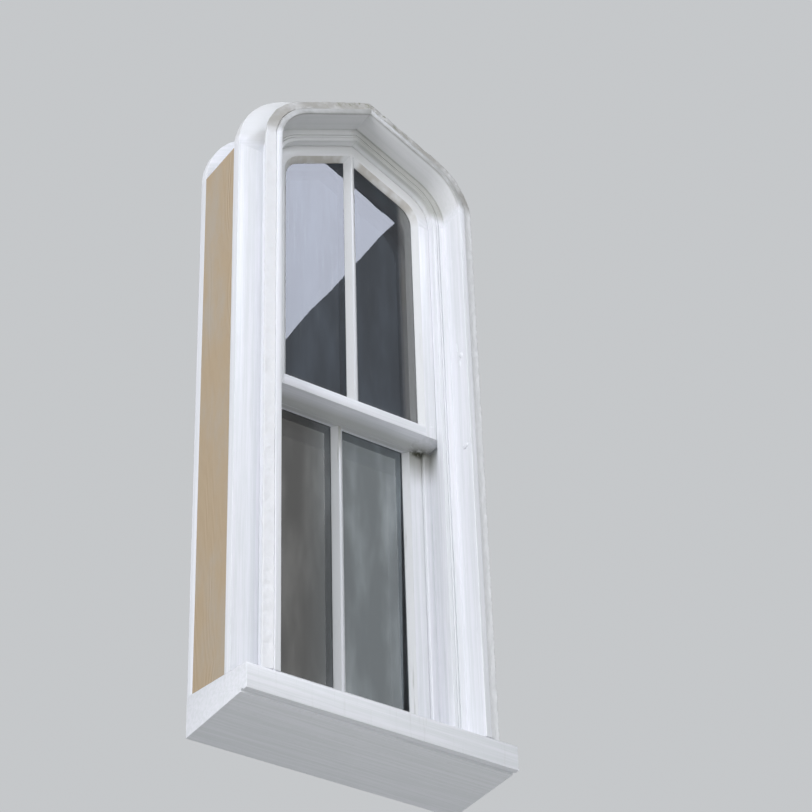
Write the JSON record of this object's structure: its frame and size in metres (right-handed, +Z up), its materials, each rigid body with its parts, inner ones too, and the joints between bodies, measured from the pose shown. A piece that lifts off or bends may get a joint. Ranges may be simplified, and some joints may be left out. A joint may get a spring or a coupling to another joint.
{
  "type": "sash window",
  "caption": "Arched-head box-frame sash window in painted timber: two sliding sashes with glazing bars, cords, pulleys, weights and a turning fastener.",
  "frame": {"origin": "middle of the sill's underside, halfway through the depth of the frame", "axes": "+X to the right seen from outside, +Y from outside into the room, +Z up; both sashes closed"},
  "size_m": [0.536, 0.195, 1.4598],
  "materials": {
    "painted_timber": "satin",
    "bare_timber": "matte",
    "glass": "polished",
    "putty": "matte",
    "sealant": "matte",
    "brass": "satin",
    "cast_iron": "matte",
    "cord": "matte"
  },
  "bodies": {
    "frame": {"sill": "painted_timber", "pulley_stile_left": "painted_timber", "pulley_stile_right": "painted_timber", "pocket_piece_left": "painted_timber", "pocket_piece_right": "painted_timber", "outer_lining_left": "painted_timber", "outer_lining_right": "painted_timber", "inner_lining_left": "painted_timber", "inner_lining_right": "painted_timber", "back_lining_left": "bare_timber", "back_lining_right": "bare_timber", "weight_partition_left": "bare_timber", "weight_partition_right": "bare_timber", "parting_bead_left": "painted_timber", "parting_bead_right": "painted_timber", "staff_bead_left": "painted_timber", "staff_bead_right": "painted_timber", "reveal_lining_left": "painted_timber", "reveal_lining_right": "painted_timber", "pulley_cases_left": "cast_iron", "pulley_cases_right": "cast_iron", "outer_head_lining": "painted_timber", "inner_head_lining": "painted_timber", "arched_head": "painted_timber", "parting_bead_head": "painted_timber", "staff_bead_head": "painted_timber", "staff_bead_sill": "painted_timber", "sealant": "sealant", "upper_cord_left": "cord", "upper_cord_right": "cord", "lower_cord_left": "cord", "lower_cord_right": "cord"},
    "upper_sash": {"upper_stile_left": "painted_timber", "upper_stile_right": "painted_timber", "upper_head_rail": "painted_timber", "upper_meeting_rail": "painted_timber", "upper_glazing_bar": "painted_timber", "upper_pane_left": "glass", "upper_pane_right": "glass", "upper_putty": "putty", "fastener_keep": "brass"},
    "lower_sash": {"lower_stile_left": "painted_timber", "lower_stile_right": "painted_timber", "lower_meeting_rail": "painted_timber", "lower_bottom_rail": "painted_timber", "lower_glazing_bar": "painted_timber", "lower_pane_left": "glass", "lower_pane_right": "glass", "lower_putty": "putty", "sash_lifts": "brass", "fastener_base": "brass"},
    "fastener_lever": {"fastener_lever": "brass"},
    "upper_weight_left": {"upper_weight_left": "cast_iron"},
    "upper_wheel_left": {"upper_wheel_left": "cast_iron"},
    "upper_weight_right": {"upper_weight_right": "cast_iron"},
    "upper_wheel_right": {"upper_wheel_right": "cast_iron"},
    "lower_weight_left": {"lower_weight_left": "cast_iron"},
    "lower_wheel_left": {"lower_wheel_left": "cast_iron"},
    "lower_weight_right": {"lower_weight_right": "cast_iron"},
    "lower_wheel_right": {"lower_wheel_right": "cast_iron"}
  },
  "joints": [
    {"name": "upper_sash_slide", "type": "slide", "parent": "frame", "child": "upper_sash", "axis": [0, 0, -1], "range_m": [0, 0.45], "deforming": ["upper_cord_left", "upper_cord_right"]},
    {"name": "lower_sash_slide", "type": "slide", "parent": "frame", "child": "lower_sash", "axis": [0, 0, 1], "range_m": [0, 0.45], "deforming": ["lower_cord_left", "lower_cord_right"]},
    {"name": "upper_weight_left_slide", "type": "slide", "parent": "frame", "child": "upper_weight_left", "axis": [0, 0, 1], "range_m": [0, 0.45]},
    {"name": "upper_wheel_left_spin", "type": "hinge", "parent": "frame", "child": "upper_wheel_left", "pos_m": [-0.2123, -0.0015, 1.15], "axis": [0, 1, 0], "range_deg": [0, 1080]},
    {"name": "upper_weight_right_slide", "type": "slide", "parent": "frame", "child": "upper_weight_right", "axis": [0, 0, 1], "range_m": [0, 0.45]},
    {"name": "upper_wheel_right_spin", "type": "hinge", "parent": "frame", "child": "upper_wheel_right", "pos_m": [0.2123, -0.0015, 1.15], "axis": [0, -1, 0], "range_deg": [0, 1080]},
    {"name": "lower_weight_left_slide", "type": "slide", "parent": "frame", "child": "lower_weight_left", "axis": [0, 0, -1], "range_m": [0, 0.45]},
    {"name": "lower_wheel_left_spin", "type": "hinge", "parent": "frame", "child": "lower_wheel_left", "pos_m": [-0.2123, 0.0555, 1.15], "axis": [0, -1, 0], "range_deg": [0, 1080]},
    {"name": "lower_weight_right_slide", "type": "slide", "parent": "frame", "child": "lower_weight_right", "axis": [0, 0, -1], "range_m": [0, 0.45]},
    {"name": "lower_wheel_right_spin", "type": "hinge", "parent": "frame", "child": "lower_wheel_right", "pos_m": [0.2123, 0.0555, 1.15], "axis": [0, 1, 0], "range_deg": [0, 1080]},
    {"name": "fastener_turn", "type": "hinge", "parent": "lower_sash", "child": "fastener_lever", "pos_m": [-0.062, 0.0425, 0.744], "axis": [0, 0, 1], "range_deg": [0, 90]}
  ],
  "couplings": [
    {"joint": "upper_weight_left_slide", "follows": "upper_sash_slide", "ratio": 1},
    {"joint": "upper_wheel_left_spin", "follows": "upper_sash_slide", "rad_per_m": 41.152},
    {"joint": "upper_weight_right_slide", "follows": "upper_sash_slide", "ratio": 1},
    {"joint": "upper_wheel_right_spin", "follows": "upper_sash_slide", "rad_per_m": 41.152},
    {"joint": "lower_weight_left_slide", "follows": "lower_sash_slide", "ratio": 1},
    {"joint": "lower_wheel_left_spin", "follows": "lower_sash_slide", "rad_per_m": 41.152},
    {"joint": "lower_weight_right_slide", "follows": "lower_sash_slide", "ratio": 1},
    {"joint": "lower_wheel_right_spin", "follows": "lower_sash_slide", "rad_per_m": 41.152}
  ]
}
